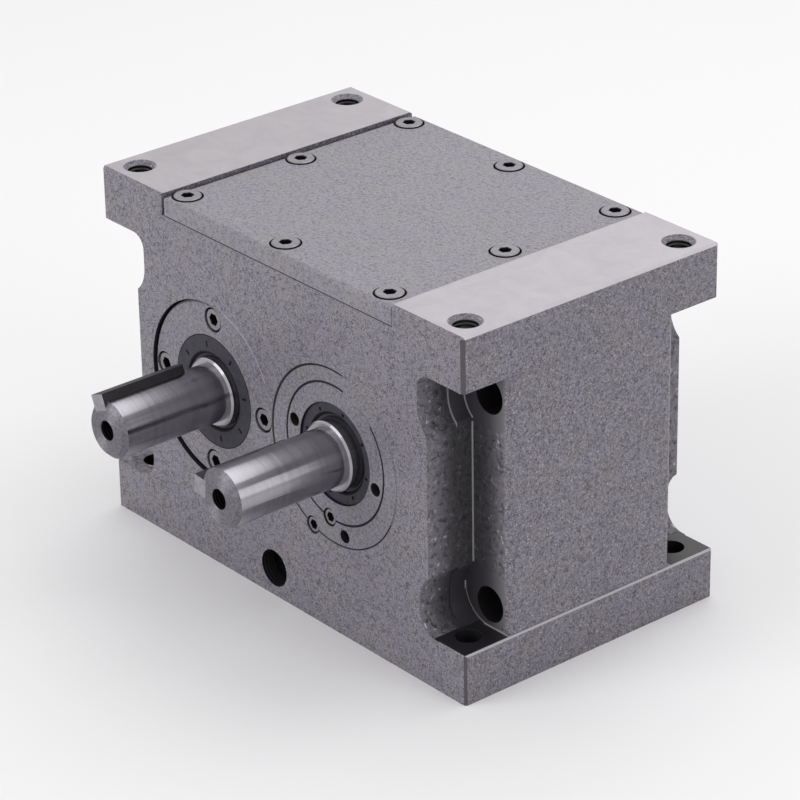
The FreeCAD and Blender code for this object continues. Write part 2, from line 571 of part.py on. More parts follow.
# Input line: shaft with collar, two conjugate cams, keys and rings
def input_line():
    cam_face = "housingDepth / 2 - camCollarWidth / 2 - camThickness"
    blank = shaft("input_shaft", INPUT_X, INPUT_Z, "inputKeyAngle", "inputReach", "inputCollar",
                  "nutThickness + bearingWidth", cam_face, True, "housingDepth - nutThickness - shaftEndGap")
    end_key = key("input_end_key", INPUT_X, INPUT_Z, "inputKeyAngle", "keyWidth", "keyHeight", "shaftRadius - keySunk",
                  "-inputReach", "inputReach - keyStart - keyWidth / 2", True)
    cam_keys = []
    for tag, half_turn, depth in (("front", 0, cam_face), ("rear", 180, "housingDepth / 2 + camCollarWidth / 2")):
        cam_keys.append(key("%s_cam_key" % tag, INPUT_X, INPUT_Z, "%s / 1 deg + %d" % (TILT, half_turn), "hubKeyWidth",
                            "hubKeyHeight", "coreRadius - hubKeySunk", depth, "camThickness", False))
        body = node_cam(tag, half_turn, depth)
        node(cut(tag + "_cam", body, cam_keys[-1]))
    node(cut("input_shaft", blank, end_key, *cam_keys))
    node(group("input_shaft_key", [end_key]))
    node(group("cam_keys", cam_keys))
    retaining_rings("cam_rings", INPUT_X, INPUT_Z, cam_face)


# Cam plate: inner envelope of a follower's path as the turret turns at 1/4 of the cam's speed
def node_cam(tag, half_turn, depth):
    offset = sheet.get("followerRadius") + sheet.get("camPlay")
    circle, nose = sheet.get("followerCircle"), sheet.get("camNoseRadius")
    angle, throw = math.radians(sheet.get("eccentricAngle")), sheet.get("eccentricity")
    distance = math.hypot(sheet.get("centreDistance") + throw * math.cos(angle), throw * math.sin(angle))
    ratio = FOLLOWERS // 2

    # edge point in the cam's own plane, when the follower is this far past the line of centres
    def edge(past):
        follower = distance - circle * complex(math.cos(past), -math.sin(past))
        spin = complex(math.cos(ratio * past), -math.sin(ratio * past))
        speed = (circle * complex(math.sin(past), math.cos(past)) - ratio * 1j * follower) * spin
        normal = 1j * speed / abs(speed)
        spot = follower * spin
        if (normal * spot.conjugate()).real > 0:
            normal = -normal
        return spot + offset * normal

    low, high = 0.0, math.radians(60)
    for _ in range(60):
        middle = (low + high) / 2
        low, high = (middle, high) if abs(edge(middle)) < nose else (low, middle)
    steps = 30
    flank = [edge(low * (2 * i / steps - 1)) for i in range(steps + 1)]
    spots = [Vector(p.real, 0, p.imag) for p in flank]
    curve = Part.BSplineCurve()
    curve.interpolate(spots)
    tip = Part.Arc(spots[-1], Vector(-nose, 0, 0), spots[0])
    outline = Part.Wire([curve.toShape(), tip.toShape()])
    thickness = sheet.get("camThickness")
    plate = Part.Face(outline).extrude(Vector(0, thickness, 0))
    bore = Part.makeCylinder(sheet.get("coreRadius"), thickness, Vector(), Vector(0, 1, 0))
    body = doc.addObject("Part::Feature", tag + "_cam_plate")
    body.Shape = plate.cut(bore)
    place(body, INPUT_X, inward(depth), INPUT_Z, Rotation(Vector(0, -1, 0), 1))
    body.setExpression("Placement.Rotation.Angle", bound("%s + %d deg" % (TILT, 180 + half_turn)))
    return body


# Output line: shaft, follower turret with eight studs and eight rollers
def output_line():
    hub_face = "housingDepth / 2 - turretHubWidth / 2"
    blank = shaft("output_shaft", OUTPUT_X, "axisHeight", "outputKeyAngle", "outputReach", "outputCollar",
                  "recessDepth + spigotLength + bearingWidth", hub_face, False,
                  "housingDepth - recessDepth - spigotLength - shaftEndGap")
    end_key = key("output_end_key", OUTPUT_X, "axisHeight", "outputKeyAngle", "keyWidth", "keyHeight",
                  "shaftRadius - keySunk", "-outputReach", "outputReach - keyStart - keyWidth / 2", True)
    hub_key = key("turret_hub_key", OUTPUT_X, "axisHeight", "90", "hubKeyWidth", "hubKeyHeight",
                  "coreRadius - hubKeySunk", hub_face, "turretHubWidth", False)
    face = "housingDepth / 2 - turretWidth / 2"
    far = "housingDepth / 2 + turretWidth / 2"
    hub_end = "housingDepth / 2 + turretHubWidth / 2"
    profile = [
        ("coreRadius", hub_face), ("turretHubRadius - 1", hub_face), ("turretHubRadius", hub_face + " + 1"),
        ("turretHubRadius", face), ("turretRadius - 1", face), ("turretRadius", face + " + 1"),
        ("turretRadius", far + " - 1"), ("turretRadius - 1", far), ("turretHubRadius", far),
        ("turretHubRadius", hub_end + " - 1"), ("turretHubRadius - 1", hub_end), ("coreRadius", hub_end),
    ]
    wheel = turned("turret_blank", profile, OUTPUT_X, "axisHeight")
    roller_face = "%s - followerGap - followerWidth" % face
    stud_points = [
        ("0", "%s - followerGap - studHeadHeight" % roller_face),
        ("studHeadRadius", "%s - followerGap - studHeadHeight" % roller_face),
        ("studHeadRadius", "%s - followerGap" % roller_face), ("studRadius", "%s - followerGap" % roller_face),
        ("studRadius", far + " - 1"), ("0", far + " - 1"),
    ]
    ring_points = [
        ("studRadius + rollerPlay", roller_face), ("followerRadius - 0.5", roller_face),
        ("followerRadius", roller_face + " + 0.5"), ("followerRadius", "%s + followerWidth - 0.5" % roller_face),
        ("followerRadius - 0.5", "%s + followerWidth" % roller_face),
        ("studRadius + rollerPlay", "%s + followerWidth" % roller_face),
    ]
    seats, studs = [], []
    for i in range(FOLLOWERS):
        angle = "%s / 1 deg + %g" % (TILT, 360 * i / FOLLOWERS)
        x, z = around(OUTPUT_X, "axisHeight", "followerCircle", angle)
        side = 1 if i % 2 == 0 else -1
        seats.append(rod("stud_seat_%d" % (i + 1), "studRadius", x, z, face + " - 1", "turretWidth + 2"))
        studs.append(turned("stud_%d" % (i + 1), stud_points, x, z, side))
        node(turned("roller_%d" % (i + 1), ring_points, x, z, side))
    node(cut("turret", wheel, hub_key, *seats))
    node(cut("output_shaft", blank, end_key, hub_key))
    node(group("follower_studs", studs))
    node(group("output_shaft_key", [end_key]))
    node(group("turret_key", [hub_key]))
    retaining_rings("turret_rings", OUTPUT_X, "axisHeight", hub_face)


# Screw plug deep in the drain port
def drain_plug():
    plug = rod("plug_blank", "drainRadius", "drainOffset", "drainHeight", "drainSunk", "drainPlugLength")
    hole = hexagon("plug_socket", "drainSocket", "drainOffset", "drainHeight", "drainSunk - 1", "drainPlugLength / 2 + 1")
    node(cut("drain_plug", plug, hole))


housing()
cover()
output_supports()
input_supports()
input_line()
output_line()
drain_plug()
doc.recompute()

# Every object must be sound before anything is written
for item in doc.Objects:
    if "Invalid" in item.State or "Error" in item.State:
        raise RuntimeError("%s is %s" % (item.Label, item.State))
os.makedirs("parts", exist_ok=True)
for item in nodes:
    shape = item.Shape
    if shape.isNull() or not shape.isValid() or not shape.Solids:
        raise RuntimeError(item.Label + " has no valid solid")
    shape.exportStep("parts/%s.step" % item.Label)
    print(item.Label, len(shape.Solids), round(shape.Volume))
print(len(nodes), "nodes")
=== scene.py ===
import bpy
import bmesh
import json
import math
from mathutils import Matrix, Vector


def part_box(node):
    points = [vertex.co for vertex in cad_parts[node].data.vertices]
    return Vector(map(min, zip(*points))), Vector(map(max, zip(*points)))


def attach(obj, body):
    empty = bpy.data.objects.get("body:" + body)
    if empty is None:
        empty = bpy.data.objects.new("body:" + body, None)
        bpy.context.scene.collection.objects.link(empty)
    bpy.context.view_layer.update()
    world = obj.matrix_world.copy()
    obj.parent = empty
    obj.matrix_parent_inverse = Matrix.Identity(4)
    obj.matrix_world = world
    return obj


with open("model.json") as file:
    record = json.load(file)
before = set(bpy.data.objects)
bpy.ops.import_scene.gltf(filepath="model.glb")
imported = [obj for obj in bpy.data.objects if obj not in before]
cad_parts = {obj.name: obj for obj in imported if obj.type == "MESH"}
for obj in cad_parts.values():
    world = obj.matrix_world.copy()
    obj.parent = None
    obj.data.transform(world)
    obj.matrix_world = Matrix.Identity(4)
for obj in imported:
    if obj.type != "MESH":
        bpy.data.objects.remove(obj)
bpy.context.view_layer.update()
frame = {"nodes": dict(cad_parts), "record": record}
mm = 0.001
nodeOf = frame["nodes"]
print("frame loaded:", len(nodeOf), "nodes")


def srgb(code):  # hex as a painter reads it, turned to the linear values that the shader wants
    parts = [int(code[i:i + 2], 16) / 255 for i in (1, 3, 5)]
    return [p / 12.92 if p <= 0.04045 else ((p + 0.055) / 1.055) ** 2.4 for p in parts] + [1]


# Adds a node with its settings and its links. Stops are the places and hex colours of a colour ramp
def addNode(tree, kind, inputs=None, stops=(), **settings):
    node = tree.nodes.new("ShaderNode" + kind)
    for name, value in settings.items():
        setattr(node, name, value)
    for socket, value in (inputs or {}).items():
        if isinstance(value, bpy.types.NodeSocket):
            tree.links.new(value, node.inputs[socket])
        else:
            node.inputs[socket].default_value = value
    for i, (spot, code) in enumerate(stops):
        line = node.color_ramp.elements
        if i >= len(line):
            line.new(spot)
        line[i].position = spot
        line[i].color = srgb(code)
    return node


# camera, set from the photograph's own perspective
photoCamera = dict(azimuth=50.3034, elevation=26.0902, roll=-0.9879, distance=1546.4, right=2.24, down=8.38,
                   aimX=0.3, aimY=-0.16, aimZ=80.0, lens=167.19, sensor=36.0)


def makeCamera(c):
    az, el, roll = (math.radians(c[k]) for k in ("azimuth", "elevation", "roll"))
    ahead = Vector((-math.sin(az) * math.cos(el), math.cos(az) * math.cos(el), -math.sin(el)))
    side = ahead.cross(Vector((0, 0, 1))).normalized()
    over = side.cross(ahead)
    across = side * math.cos(roll) + over * math.sin(roll)
    upward = over * math.cos(roll) - side * math.sin(roll)
    aim = Vector((c["aimX"], c["aimY"], c["aimZ"]))
    spot = (aim - across * c["right"] - upward * c["down"] - ahead * c["distance"]) * mm
    data = bpy.data.cameras.new("photoCamera")
    data.lens, data.sensor_width, data.sensor_fit = c["lens"], c["sensor"], "HORIZONTAL"
    camera = bpy.data.objects.new("photoCamera", data)
    turn = Matrix((across, upward, -ahead)).transposed()
    camera.matrix_world = Matrix.Translation(spot) @ turn.to_4x4()
    bpy.context.scene.collection.objects.link(camera)
    bpy.context.scene.camera = camera


makeCamera(photoCamera)
print("camera set")

# studio: pale floor, a large softbox overhead and a little behind, a weaker one in front on the left
studio = dict(floorHex="#F4F3F4", floorSize=6.0, worldHex="#FFFFFF", worldLight=0.5,
              lamps=dict(overhead=(15.0, 1.9, (-0.1, 0.6, 1.5)), frontLeft=(17.0, 1.3, (-0.6, -1.8, 0.9)),
                         rightSide=(6.0, 1.0, (1.8, 0.3, 0.8))))


def makeLamp(name, power, size, spot, aim=(0, 0, 0.08)):
    data = bpy.data.lights.new(name, "AREA")
    data.energy, data.size = power, size
    lamp = bpy.data.objects.new(name, data)
    lamp.location = spot
    lamp.rotation_euler = (Vector(aim) - Vector(spot)).to_track_quat("-Z", "Y").to_euler()
    bpy.context.scene.collection.objects.link(lamp)


def startMaterial(name):
    material = bpy.data.materials.new(name)
    material.use_nodes = True
    tree = material.node_tree
    place = addNode(tree, "TexCoord").outputs["Object"]
    return material, tree, tree.nodes["Principled BSDF"], place


def makeStudio(s):
    mesh = bpy.data.meshes.new("floor")
    half = s["floorSize"] / 2
    corners = [(-half, -half, 0), (half, -half, 0), (half, half, 0), (-half, half, 0)]
    mesh.from_pydata(corners, [], [(0, 1, 2, 3)])
    floor = bpy.data.objects.new("floor", mesh)
    bpy.context.scene.collection.objects.link(floor)
    material, _, shader, _ = startMaterial("paleFloor")
    shader.inputs["Base Color"].default_value = srgb(s["floorHex"])
    shader.inputs["Roughness"].default_value = 0.9
    shader.inputs["Specular IOR Level"].default_value = 0.1
    mesh.materials.append(material)
    world = bpy.data.worlds.new("studio")
    bpy.context.scene.world = world
    world.use_nodes = True
    tree = world.node_tree
    tree.nodes.clear()
    rays = addNode(tree, "LightPath").outputs
    seen = addNode(tree, "Math", {0: rays["Is Camera Ray"], 1: rays["Is Glossy Ray"]}, operation="MAXIMUM")
    seen = addNode(tree, "Math", {0: seen.outputs[0], 1: rays["Is Transmission Ray"]}, operation="MAXIMUM")
    light = addNode(tree, "Background", {"Color": srgb(s["worldHex"]), "Strength": s["worldLight"]})
    white = addNode(tree, "Background", {"Color": srgb(s["worldHex"]), "Strength": 1.0})
    mixed = addNode(tree, "MixShader", {0: seen.outputs[0], 1: light.outputs[0], 2: white.outputs[0]})
    addNode(tree, "OutputWorld", {"Surface": mixed.outputs[0]})
    for name, (power, size, spot) in s["lamps"].items():
        makeLamp(name, power, size, spot)
    bpy.context.scene.view_settings.view_transform = "Standard"


makeStudio(studio)
print("studio set")

# sizes that the finishes follow, in mm: the casting's, those of what is fitted to it, and where the bores'
# axes stand (x, z)
casting = dict(foot=22.4, top=23.6, pocketReach=26.7, pocketAcross=21.8, pocketDeep=23.5, faced=15.2,
               reliefRadius=14.0, reliefInset=12.7, topCorner=1.3, footCorner=0.9, footLip=0.5,
               topEndLip=1.0, topSideLip=0.6, earHole=7.75, earInset=11.8, earRise=10.0, earDrop=12.0,
               footHole=5.5, footHoleInset=12.0, padHole=5.1, padHoleInset=11.5, padPitch=1.75,
               drainHole=8.25, drainPitch=1.5, recess=40.2, rimFromX=-34.0, rimFromZ=97.0)
fitted = dict(sleeve=38.9, nut=30.4, jointShift=0.45, jointWide=0.35, flangeDrop=1.2, flangeChamfer=0.8,
              shaft=12.5, shaftHole=4.2, shaftPitch=1.5, sealFace=17.2, outputSeal=25.0, inputSeal=22.0,
              coverSink=6.7, between=-4.2)
axes = dict(output=(-44.4, 80.0), sleeve=(35.6, 80.0), input=(36.25, 81.785), drain=(-5.8, 12.9))
far = 999  # past any side of the part, in mm


# A mask: 1 where the value lies between two sizes in mm
def within(tree, value, low, high):
    middle, reach = (low + high) / 2 * mm, (high - low) / 2 * mm
    return addNode(tree, "Math", {0: value, 1: middle, 2: reach}, operation="COMPARE").outputs[0]


# Masks put together: MULTIPLY is inside all of them, MAXIMUM is inside any
def joined(tree, how, *masks):
    total = masks[0]
    for mask in masks[1:]:
        total = addNode(tree, "Math", {0: total, 1: mask}, operation=how).outputs[0]
    return total


# How far a point is from an axis that is seen end on
def fromAxis(tree, flat, spot):
    spot = (spot[0] * mm, 0, spot[1] * mm)
    return addNode(tree, "VectorMath", {0: flat, 1: spot}, operation="DISTANCE").outputs["Value"]


# The part's own directions: x, y and z, both ends and both sides folded together, and the flat views
def placesOf(tree, place):
    x, y, z = addNode(tree, "SeparateXYZ", {"Vector": place}).outputs
    endwards = addNode(tree, "Math", {0: x}, operation="ABSOLUTE").outputs[0]
    sidewards = addNode(tree, "Math", {0: y}, operation="ABSOLUTE").outputs[0]
    faceOn = addNode(tree, "CombineXYZ", {"X": x, "Z": z}).outputs[0]
    faceFold = addNode(tree, "CombineXYZ", {"X": endwards, "Z": z}).outputs[0]
    planFold = addNode(tree, "CombineXYZ", {"X": endwards, "Z": sidewards}).outputs[0]
    return dict(place=place, x=x, y=y, z=z, endwards=endwards, sidewards=sidewards, faceOn=faceOn,
                faceFold=faceFold, planFold=planFold)


# Distance from the nearer of the two shafts' axes
def fromShafts(tree, at):
    return joined(tree, "MINIMUM", fromAxis(tree, at["faceOn"], axes["output"]),
                  fromAxis(tree, at["faceOn"], axes["input"]))


# An uneven surface: noise with a grain in mm, and the colours that it runs through
def uneven(tree, place, grain, detail, stops):
    noise = addNode(tree, "TexNoise", {"Vector": place, "Scale": 1 / (grain * mm), "Detail": detail})
    noise = noise.outputs["Fac"]
    return noise, addNode(tree, "ValToRGB", {"Fac": noise}, stops=stops).outputs[0]


def flatFinish(code, rough, metal=0.0):  # one colour all over, and no relief
    return dict(colour=srgb(code), rough=rough, metal=metal, relief=0.0)


# One finish laid over another where the mask says. Each has a colour, a roughness, metal or not, and a
# relief in mm
def layOver(tree, lower, upper, mask):
    colour = addNode(tree, "MixRGB", {"Fac": mask, "Color1": lower["colour"], "Color2": upper["colour"]})
    laid = dict(colour=colour.outputs[0])
    for channel in ("rough", "metal", "relief"):
        laid[channel] = lower[channel]
        if lower[channel] != upper[channel]:  # a number that stays the same is kept as a number
            mix = addNode(tree, "Mix", {"Factor": mask, "A": lower[channel], "B": upper[channel]})
            laid[channel] = mix.outputs[0]
    return laid


def dress(tree, shader, finish):
    if isinstance(finish["relief"], bpy.types.NodeSocket):
        bump = addNode(tree, "Bump", {"Height": finish["relief"], "Strength": 1.0, "Distance": mm})
        tree.links.new(bump.outputs[0], shader.inputs["Normal"])
    for channel, socket in (("colour", "Base Color"), ("rough", "Roughness"), ("metal", "Metallic")):
        if isinstance(finish[channel], bpy.types.NodeSocket):
            tree.links.new(finish[channel], shader.inputs[socket])
        else:
            shader.inputs[socket].default_value = finish[channel]


# Threads show as ridges one pitch apart
def threadRelief(tree, along, pitch, deep):
    turns = addNode(tree, "Math", {0: along, 1: 2 * math.pi / (pitch * mm)}, operation="MULTIPLY").outputs[0]
    ridge = addNode(tree, "Math", {0: turns}, operation="SINE").outputs[0]
    return addNode(tree, "Math", {0: ridge, 1: deep}, operation="MULTIPLY").outputs[0]


# Hammer-finish enamel, sprayed: a leathery skin, with broken dark worm lines where the film gathers
def hammerEnamel(tree, place, look):
    scale = 1 / (look["fleck"] * mm)
    curl = addNode(tree, "TexNoise", {"Vector": place, "Scale": scale, "Detail": 1.5, "Distortion": 0.8})
    curl = curl.outputs["Fac"]
    breaks = addNode(tree, "TexNoise", {"Vector": place, "Scale": 0.8 * scale, "Detail": 2.0}).outputs["Fac"]
    fine = addNode(tree, "TexNoise", {"Vector": place, "Scale": 2.2 * scale, "Detail": 1.0}).outputs["Fac"]
    away = addNode(tree, "Math", {0: curl, 1: 0.5}, operation="SUBTRACT").outputs[0]
    away = addNode(tree, "Math", {0: away}, operation="ABSOLUTE").outputs[0]
    line = addNode(tree, "MapRange", {"Value": away, "From Min": 0.0, "From Max": 0.075, "To Min": 1.0,
                                      "To Max": 0.0}).outputs[0]
    gate = addNode(tree, "MapRange", {"Value": breaks, "From Min": 0.43, "From Max": 0.53}).outputs[0]
    worm = addNode(tree, "Math", {0: line, 1: gate}, operation="MULTIPLY").outputs[0]
    paint = addNode(tree, "ValToRGB", {"Fac": fine}, stops=(
        (0.34, look["shade"]), (0.46, look["mid"]), (0.6, look["mid"]), (0.72, look["pale"]))).outputs[0]
    paint = addNode(tree, "MixRGB", {"Fac": worm, "Color1": paint, "Color2": srgb(look["dark"])}).outputs[0]
    tint = uneven(tree, place, look["cloud"], 3.0, ((0.35, "#F7F6F4"), (0.65, "#F4F2FC")))[1]
    paint = addNode(tree, "MixRGB", {"Fac": 1.0, "Color1": paint, "Color2": tint}, blend_type="MULTIPLY")
    rough = addNode(tree, "MapRange", {"Value": worm, "To Min": 0.3, "To Max": 0.5}).outputs[0]
    relief = addNode(tree, "Math", {0: curl, 1: look["depth"]}, operation="MULTIPLY").outputs[0]
    return dict(colour=paint.outputs[0], rough=rough, metal=0.0, relief=relief)


# fleck, depth and cloud are the grain's size, its height and the width of its clouds, in mm
enamel = dict(housing=dict(dark="#3A373D", shade="#67636B", mid="#827E86", pale="#AFACB3", fleck=1.4,
                           depth=0.27, cloud=16.0),
              cover=dict(dark="#5C5960", shade="#7B787F", mid="#8B888E", pale="#A19FA4", fleck=1.3,
                         depth=0.22, cloud=16.0),
              turned=dict(dark="#4B474E", shade="#6F6B73", mid="#827F87", pale="#A09DA4", fleck=1.2,
                          depth=0.15, cloud=16.0))
# of these, the faced seats', the shelf's and the hollows' colours are partly painted shade, and the light
# edge lines' partly painted highlight
bare = dict(milledDark="#A19DA2", milledPale="#ACA8AC", milledPass=14.0, cornerHex="#4B464D",
            wornAndHighlightHex="#A9A6AC", castDark="#242126", castMid="#4C494F", castPale="#A9A6AD", castLump=2.6,
            castDepth=2.4, facedPale="#77747A", facedAndShadedHex="#38353B", shelfShadeHex="#1D1B1F", hollowShadeHex="#151417")


# where the painted shade of the front joints is left out: right of fromX, over the sleeve's and the nut's
# heights, in mm
unshadedJoints = dict(fromX=42.0, sleeveFromZ=63.0, nutFromZ=102.0, front=-60.0)


# On their upper right the sleeve's and the nut's joints get no painted shade, and their dark line ends
def shadeLeftOut(tree, at, f, p):
    sleeve = joined(tree, "MULTIPLY", within(tree, at["z"], p["sleeveFromZ"], far),
                    within(tree, fromAxis(tree, at["faceOn"], axes["sleeve"]), f["sleeve"] - 1, far))
    nut = joined(tree, "MULTIPLY", within(tree, at["z"], p["nutFromZ"], far),
                 within(tree, fromAxis(tree, at["faceOn"], axes["input"]), f["nut"] - 1, f["nut"] + 1))
    return joined(tree, "MULTIPLY", joined(tree, "MAXIMUM", sleeve, nut),
                  within(tree, at["x"], p["fromX"], far), within(tree, at["y"], -far, p["front"]))


# Cast iron: enamelled outside, milled bare on the pads and base, left rough in the corner pockets
def housingFinish(c, f, b):
    material, tree, shader, place = startMaterial("hammerEnamelOnCastIron")
    at = placesOf(tree, place)
    halfX, halfY, top = (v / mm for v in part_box("housing")[1])
    depth = addNode(tree, "Math", {0: halfY * mm, 1: at["sidewards"]}, operation="SUBTRACT").outputs[0]
    finish = hammerEnamel(tree, place, enamel["housing"])

    # rough skin of the corner pockets, speckled, with painted light near the pocket's mouth and painted shade
    # deeper in
    lumps = addNode(tree, "TexNoise", {"Vector": place, "Scale": 1 / (b["castLump"] * mm), "Detail": 5.0,
                                       "Roughness": 0.68, "Distortion": 0.5}).outputs["Fac"]
    skin = addNode(tree, "ValToRGB", {"Fac": lumps}, stops=(
        (0.36, b["castDark"]), (0.48, b["castMid"]), (0.6, b["castMid"]), (0.74, b["castPale"]))).outputs[0]
    fromEnd = addNode(tree, "Math", {0: halfX * mm, 1: at["endwards"]}, operation="SUBTRACT").outputs[0]
    inwards = joined(tree, "MINIMUM", depth, fromEnd)
    # painted light and shade: the skin is scaled paler towards the pocket's mouth and darker deeper in
    litToShaded = addNode(tree, "MapRange", {"Value": inwards, "From Min": 0.0, "From Max": 15 * mm, "To Min": 3.4,
                                      "To Max": 0.55}, interpolation_type="SMOOTHSTEP").outputs[0]
    skin = addNode(tree, "VectorMath", {0: skin, "Scale": litToShaded}, operation="SCALE").outputs[0]
    relief = addNode(tree, "Math", {0: lumps, 1: b["castDepth"]}, operation="MULTIPLY").outputs[0]
    pocket = joined(tree, "MULTIPLY", within(tree, depth, 0.1, c["pocketDeep"] + 0.06),
                    within(tree, at["endwards"], halfX - c["pocketReach"] - 0.7, halfX + 1),
                    within(tree, at["z"], c["foot"] - 0.05, top - c["top"] + 0.05))
    finish = layOver(tree, finish, dict(colour=skin, rough=0.55, metal=0.0, relief=relief), pocket)

    # the ear bolts' seats are faced by a cutter: smooth, dark, and darkened further with painted shade. The
    # foot's top in the pockets is smooth too, and dark with painted shade on the input side
    seatX = halfX - c["reliefInset"]
    reliefLow = fromAxis(tree, at["faceFold"], (seatX, c["foot"] + c["reliefRadius"]))
    reliefHigh = fromAxis(tree, at["faceFold"], (seatX, top - c["top"] - c["reliefRadius"]))
    nearest = joined(tree, "MINIMUM", reliefLow, reliefHigh)
    waist = within(tree, at["z"], c["foot"] + 2 * c["reliefRadius"] - 2.5,
                   top - c["top"] - 2 * c["reliefRadius"] + 1.5)
    seat = addNode(tree, "Math", {0: 1.0, 1: waist}, operation="SUBTRACT").outputs[0]
    wallSeat = joined(tree, "MULTIPLY", within(tree, depth, c["pocketDeep"] - 0.2, c["pocketDeep"] + 0.1),
                      within(tree, nearest, -1, c["reliefRadius"]))
    seat = joined(tree, "MULTIPLY", pocket, seat, joined(
        tree, "MAXIMUM", wallSeat, within(tree, depth, c["faced"], c["pocketDeep"] - 0.2)))
    shelf = joined(tree, "MULTIPLY", pocket, within(tree, at["z"], c["foot"] - 0.1, c["foot"] + 0.1))
    # the ramp's places are metres from the end of the part: painted shade darkens the seat from its edge
    # inwards
    stops = ((0.001, b["facedPale"]), (0.013, b["facedAndShadedHex"]))
    tone = addNode(tree, "ValToRGB", {"Fac": fromEnd}, stops=stops).outputs[0]
    finish = layOver(tree, finish, dict(colour=tone, rough=0.4, metal=0.0, relief=0.0), seat)
    # painted shade: the foot's top in the pockets turns near black towards the input side
    shadedShelf = addNode(tree, "MapRange", {"Value": at["x"], "From Min": -20 * mm, "From Max": 60 * mm}).outputs[0]
    shadedShelf = joined(tree, "MULTIPLY", shelf, shadedShelf)
    finish = layOver(tree, finish, flatFinish(b["shelfShadeHex"], 0.4), shadedShelf)

    # edges where the cutter broke through the skin show as thin light lines, partly bare iron and partly
    # painted highlight. The light line round the flange's recess, at its upper right only, is painted
    # highlight
    atWall = within(tree, depth, c["pocketDeep"] - 0.5, c["pocketDeep"] + 0.05)
    lowArc = joined(tree, "MULTIPLY", within(tree, at["endwards"], 0, seatX),
                    within(tree, at["z"], 0, c["foot"] + c["reliefRadius"] + 1))
    highArc = joined(tree, "MULTIPLY", within(tree, at["endwards"], 0, halfX - c["pocketAcross"] + 0.4),
                     within(tree, at["z"], top / 2, far))
    onRelief = within(tree, nearest, c["reliefRadius"] - 0.35, c["reliefRadius"] + 0.25)
    arcs = joined(tree, "MULTIPLY", onRelief, atWall, joined(tree, "MAXIMUM", lowArc, highArc))
    sill = joined(tree, "MULTIPLY", pocket,
                  within(tree, depth, c["pocketDeep"] - 0.45, c["pocketDeep"] + 0.05),
                  within(tree, at["endwards"], seatX, far),
                  within(tree, at["z"], c["foot"] - 0.1, c["foot"] + 0.4))
    step = joined(tree, "MULTIPLY", seat, within(tree, depth, c["faced"], c["faced"] + 0.35),
                  within(tree, at["z"], top / 2, far))
    inner = joined(tree, "MULTIPLY", waist, within(tree, at["endwards"], halfX - c["pocketAcross"] - 0.3,
                                                   halfX - c["pocketAcross"] + 0.5), atWall)
    sumEndsUp = addNode(tree, "Math", {0: at["endwards"], 1: at["z"]}, operation="ADD").outputs[0]
    footLip = joined(tree, "MULTIPLY", within(tree, sumEndsUp, halfX + c["foot"] - c["footLip"] - 0.3, far),
                     within(tree, at["z"], c["foot"] - 2, c["foot"] + 0.05))
    # painted highlight: a thin light line round the flange's recess, at its upper right only
    fromOutput = fromAxis(tree, at["faceOn"], axes["output"])
    rim = joined(tree, "MULTIPLY", within(tree, fromOutput, c["recess"] - 0.1, c["recess"] + 0.4),
                 within(tree, at["x"], c["rimFromX"], far), within(tree, at["z"], c["rimFromZ"], far))
    wornAndHighlit = joined(tree, "MAXIMUM", arcs, sill, step, inner, footLip, rim)
    finish = layOver(tree, finish, flatFinish(b["wornAndHighlightHex"], 0.4, 0.3), wornAndHighlit)

    # upright corners: their chamfers are coloured dull and dark
    corner = addNode(tree, "Math", {0: at["endwards"], 1: at["sidewards"]}, operation="ADD").outputs[0]
    topCorner = joined(tree, "MULTIPLY", within(tree, corner, halfX + halfY - c["topCorner"] - 0.1, far),
                       within(tree, at["z"], c["foot"] + 1, far))
    footCorner = within(tree, corner, halfX + halfY - c["footCorner"] - 0.1, far)
    darkCorners = joined(tree, "MAXIMUM", topCorner, footCorner)
    finish = layOver(tree, finish, flatFinish(b["cornerHex"], 0.5), darkCorners)

    # milled pads, their chamfers and the base: bright bare iron with wide faint passes of the cutter
    passes = addNode(tree, "TexNoise", {"Vector": place, "Scale": 1 / (b["milledPass"] * mm), "Detail": 6.0,
                                        "Roughness": 0.7, "Distortion": 1.2}).outputs["Fac"]
    stops = ((0.3, b["milledDark"]), (0.7, b["milledPale"]))
    milled = addNode(tree, "ValToRGB", {"Fac": passes}, stops=stops).outputs[0]
    sheen = addNode(tree, "MapRange", {"Value": passes, "To Min": 0.36, "To Max": 0.48}).outputs[0]
    sumSidesUp = addNode(tree, "Math", {0: at["sidewards"], 1: at["z"]}, operation="ADD").outputs[0]
    padTop = joined(tree, "MAXIMUM", within(tree, at["z"], top - 0.05, far), within(tree, at["z"], -1, 0.05),
                    within(tree, sumEndsUp, halfX + top - c["topEndLip"] - 0.05, far),
                    within(tree, sumSidesUp, halfY + top - c["topSideLip"] - 0.05, far))
    finish = layOver(tree, finish, dict(colour=milled, rough=sheen, metal=1.0, relief=0.0), padTop)

